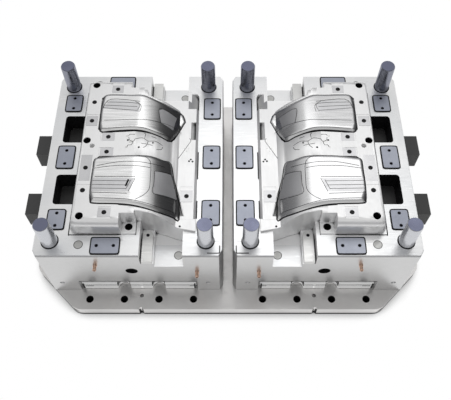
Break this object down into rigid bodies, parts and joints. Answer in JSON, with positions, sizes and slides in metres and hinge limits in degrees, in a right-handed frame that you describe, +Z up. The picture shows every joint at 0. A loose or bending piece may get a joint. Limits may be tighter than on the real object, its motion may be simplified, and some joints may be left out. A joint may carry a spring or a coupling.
{
  "type": "injection mould",
  "caption": "Core half of a twin injection mould: mirrored core blocks on one clamp plate, with guide pillars, shaped inserts, wear plates, ejector sets and side cylinders.",
  "frame": {"origin": "bottom centre of the clamp plate, under the middle of the gap between the blocks", "axes": "+Z up in the direction that the ejectors move, +X across both blocks to the right, +Y to the back"},
  "size_m": [1.654, 1.05, 0.515],
  "materials": {
    "clamp_plate_steel": "milled, satin",
    "ground_block_steel": "surface ground, satin",
    "insert_steel": "fine ground",
    "polished_core_steel": "polished along the flow",
    "pillar_steel": "hardened and ground, bluish",
    "wear_plate_steel": "hardened, blue-grey",
    "black_oxide_steel": "black oxide, matt",
    "return_pin_steel": "turned end face",
    "plain_steel": "milled",
    "black_screws": "black oxide",
    "copper_alloy": "turned copper alloy"
  },
  "bodies": {
    "mould": {"base_clamp_plate": "clamp_plate_steel", "base_plate_screws": "black_screws", "wear_plate_screws": "black_screws", "insert_screws": "black_screws", "panel_core_screws": "black_screws", "support_pillars": "plain_steel", "stop_buttons": "plain_steel", "cylinder_screws": "black_screws", "coolant_nipples": "copper_alloy", "channel_gibs": "plain_steel", "core_block_right": "ground_block_steel", "core_insert_right": "insert_steel", "upper_panel_core_right": "polished_core_steel", "lower_panel_core_right": "polished_core_steel", "guide_pillar_outer_front_right": "pillar_steel", "guide_pillar_inner_front_right": "pillar_steel", "guide_pillar_outer_back_right": "pillar_steel", "guide_pillar_inner_back_right": "pillar_steel", "wear_plate_outer_front_right": "wear_plate_steel", "wear_plate_outer_middle_right": "wear_plate_steel", "wear_plate_outer_back_right": "wear_plate_steel", "wear_plate_inner_front_right": "wear_plate_steel", "wear_plate_inner_middle_right": "wear_plate_steel", "wear_plate_inner_back_right": "wear_plate_steel", "wear_plate_front_right": "wear_plate_steel", "wear_plate_back_right": "wear_plate_steel", "side_cylinder_front_right": "black_oxide_steel", "side_cylinder_back_right": "black_oxide_steel", "core_block_left": "ground_block_steel", "core_insert_left": "insert_steel", "upper_panel_core_left": "polished_core_steel", "lower_panel_core_left": "polished_core_steel", "guide_pillar_outer_front_left": "pillar_steel", "guide_pillar_inner_front_left": "pillar_steel", "guide_pillar_outer_back_left": "pillar_steel", "guide_pillar_inner_back_left": "pillar_steel", "wear_plate_outer_front_left": "wear_plate_steel", "wear_plate_outer_middle_left": "wear_plate_steel", "wear_plate_outer_back_left": "wear_plate_steel", "wear_plate_inner_front_left": "wear_plate_steel", "wear_plate_inner_middle_left": "wear_plate_steel", "wear_plate_inner_back_left": "wear_plate_steel", "wear_plate_front_left": "wear_plate_steel", "wear_plate_back_left": "wear_plate_steel", "side_cylinder_front_left": "black_oxide_steel", "side_cylinder_back_left": "black_oxide_steel"},
    "ejector_set_right": {"return_pins_right": "return_pin_steel", "ejector_pins_right": "plain_steel", "ejector_retainer_plate_right": "plain_steel", "ejector_base_plate_right": "plain_steel", "ejector_plate_screws_right": "black_screws"},
    "slide_front_right": {"side_slide_front_right": "black_oxide_steel"},
    "slide_back_right": {"side_slide_back_right": "black_oxide_steel"},
    "ejector_set_left": {"return_pins_left": "return_pin_steel", "ejector_pins_left": "plain_steel", "ejector_retainer_plate_left": "plain_steel", "ejector_base_plate_left": "plain_steel", "ejector_plate_screws_left": "black_screws"},
    "slide_front_left": {"side_slide_front_left": "black_oxide_steel"},
    "slide_back_left": {"side_slide_back_left": "black_oxide_steel"}
  },
  "joints": [
    {"name": "ejector_stroke_right", "type": "slide", "parent": "mould", "child": "ejector_set_right", "axis": [0, 0, 1], "range_m": [0, 0.028]},
    {"name": "slide_travel_front_right", "type": "slide", "parent": "mould", "child": "slide_front_right", "axis": [-1, 0, 0], "range_m": [0, 0.023]},
    {"name": "slide_travel_back_right", "type": "slide", "parent": "mould", "child": "slide_back_right", "axis": [-1, 0, 0], "range_m": [0, 0.023]},
    {"name": "ejector_stroke_left", "type": "slide", "parent": "mould", "child": "ejector_set_left", "axis": [0, 0, 1], "range_m": [0, 0.028]},
    {"name": "slide_travel_front_left", "type": "slide", "parent": "mould", "child": "slide_front_left", "axis": [1, 0, 0], "range_m": [0, 0.023]},
    {"name": "slide_travel_back_left", "type": "slide", "parent": "mould", "child": "slide_back_left", "axis": [1, 0, 0], "range_m": [0, 0.023]}
  ]
}
